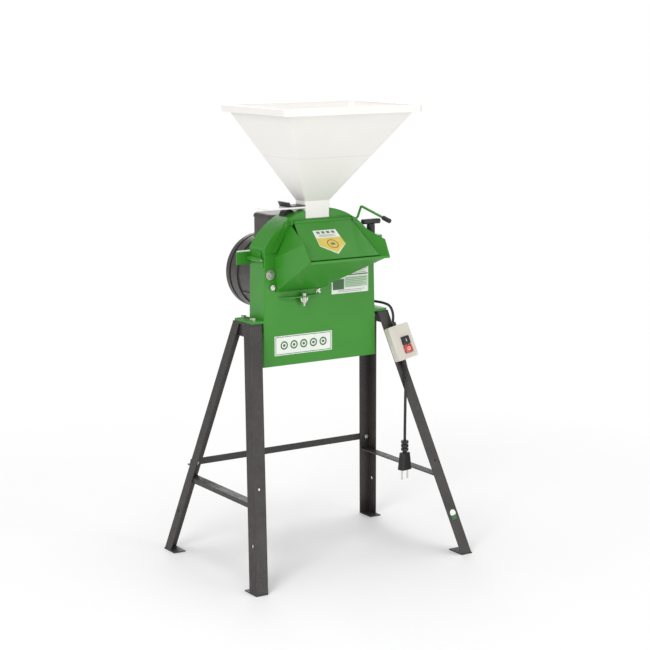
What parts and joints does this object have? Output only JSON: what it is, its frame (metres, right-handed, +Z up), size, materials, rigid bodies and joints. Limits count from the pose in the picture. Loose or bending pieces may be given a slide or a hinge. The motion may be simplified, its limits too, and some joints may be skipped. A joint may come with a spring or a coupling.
{
  "type": "hammer mill",
  "caption": "Electric hammer mill and forage chopper on a splayed angle-steel stand, with a square grain hopper, side feed funnel, hinged cover and rear motor.",
  "frame": {"origin": "floor level, under the middle of the part's bounding box", "axes": "+Z up, -Y towards the feed funnel and front panel, +X to the right as seen from the front"},
  "size_m": [0.628, 0.513, 1.12],
  "materials": {
    "stand_paint": "satin dark grey",
    "body_paint": "satin green",
    "fastener_steel": "zinc plated",
    "bare_steel": "bare steel",
    "motor_paint": "matt dark grey",
    "bearing_steel": "ground steel",
    "core_steel": "laminations and copper",
    "white_plastic": "moulded white",
    "black_plastic": "matt black",
    "grey_plastic": "light grey",
    "black_button_plastic": "black button",
    "red_button_plastic": "red button",
    "cable_rubber": "flexible black",
    "pin_metal": "nickel plated",
    "label_film": "printed film"
  },
  "bodies": {
    "frame": {"leg_front_left": "stand_paint", "leg_front_right": "stand_paint", "leg_back_left": "stand_paint", "leg_back_right": "stand_paint", "top_rails": "stand_paint", "side_braces": "stand_paint", "rear_cross_bar": "stand_paint", "stand_bolts": "fastener_steel", "stand_nuts": "fastener_steel", "lower_housing": "body_paint", "clamp_bracket": "body_paint", "counter_knife": "bare_steel", "counter_knife_bolts": "fastener_steel", "catch_bolt": "fastener_steel", "panel_clip": "fastener_steel", "screen": "bare_steel", "motor_endshield": "motor_paint", "motor_flange_bolts": "fastener_steel", "stator_shell": "motor_paint", "stator_core": "core_steel", "motor_bearings": "bearing_steel", "motor_rear_bell": "motor_paint", "fan_cover": "motor_paint", "terminal_box": "motor_paint", "terminal_box_lid": "motor_paint", "cover_hinge_pin": "fastener_steel", "switch_box_base": "grey_plastic", "switch_box_cover": "grey_plastic", "switch_box_screws": "fastener_steel", "cable_glands": "black_plastic", "motor_cable": "cable_rubber", "power_cord": "cable_rubber", "plug_body": "black_plastic", "plug_pins": "pin_metal", "front_labels": "label_film"},
    "rotor": {"rotor_discs": "bare_steel", "hammer_pins": "bare_steel", "chopping_knives": "bare_steel", "rotor_nut": "fastener_steel", "motor_shaft": "bare_steel", "motor_rotor_core": "core_steel", "cooling_fan": "black_plastic"},
    "hammer_set_a": {"hammers_a": "bare_steel"},
    "hammer_set_b": {"hammers_b": "bare_steel"},
    "hammer_set_c": {"hammers_c": "bare_steel"},
    "hammer_set_d": {"hammers_d": "bare_steel"},
    "cover": {"top_cover": "body_paint", "feed_funnel": "body_paint", "grain_hopper": "white_plastic", "hopper_support_block": "black_plastic"},
    "gate": {"slide_gate": "black_plastic"},
    "flap": {"feed_flap": "body_paint", "flap_lever": "body_paint", "lever_tip": "cable_rubber", "warning_label": "label_film"},
    "clamp": {"clamp_knob": "black_plastic", "clamp_screw": "fastener_steel"},
    "wing_nut_body": {"wing_nut": "fastener_steel"},
    "start_key": {"start_button": "black_button_plastic"},
    "stop_key": {"stop_button": "red_button_plastic"}
  },
  "joints": [
    {"name": "rotor_spin", "type": "hinge", "parent": "frame", "child": "rotor", "pos_m": [0, 0, 0.685], "axis": [0, 1, 0], "continuous": true},
    {"name": "hammer_swing_a", "type": "hinge", "parent": "rotor", "child": "hammer_set_a", "pos_m": [0.05303, -0.0085, 0.73803], "axis": [0, -1, 0], "range_deg": [-8, 155]},
    {"name": "hammer_swing_b", "type": "hinge", "parent": "rotor", "child": "hammer_set_b", "pos_m": [-0.05303, -0.0085, 0.73803], "axis": [0, -1, 0], "range_deg": [-155, 8]},
    {"name": "hammer_swing_c", "type": "hinge", "parent": "rotor", "child": "hammer_set_c", "pos_m": [-0.05303, -0.0085, 0.63197], "axis": [0, -1, 0], "range_deg": [-65, 20]},
    {"name": "hammer_swing_d", "type": "hinge", "parent": "rotor", "child": "hammer_set_d", "pos_m": [0.05303, -0.0085, 0.63197], "axis": [0, -1, 0], "range_deg": [-20, 65]},
    {"name": "cover_hinge", "type": "hinge", "parent": "frame", "child": "cover", "pos_m": [-0.166, 0, 0.753], "axis": [0, -1, 0], "range_deg": [0, 95]},
    {"name": "gate_slide", "type": "slide", "parent": "cover", "child": "gate", "axis": [-1, 0, 0], "range_m": [0, 0.065]},
    {"name": "flap_hinge", "type": "hinge", "parent": "cover", "child": "flap", "pos_m": [0, -0.0525, 0.8393], "axis": [-1, 0, 0], "range_deg": [0, 75]},
    {"name": "clamp_turn", "type": "hinge", "parent": "cover", "child": "clamp", "pos_m": [0.172, -0.0105, 0.8], "axis": [0, 0, 1], "continuous": true},
    {"name": "wing_nut_turn", "type": "hinge", "parent": "frame", "child": "wing_nut_body", "pos_m": [-0.0545, -0.0565, 0.65], "axis": [0, 0, 1], "continuous": true},
    {"name": "start_press", "type": "slide", "parent": "frame", "child": "start_key", "axis": [0, 0.9439, -0.3304], "range_m": [0, 0.003], "stiffness_N_per_m": 400},
    {"name": "stop_press", "type": "slide", "parent": "frame", "child": "stop_key", "axis": [0, 0.9439, -0.3304], "range_m": [0, 0.003], "stiffness_N_per_m": 400}
  ]
}
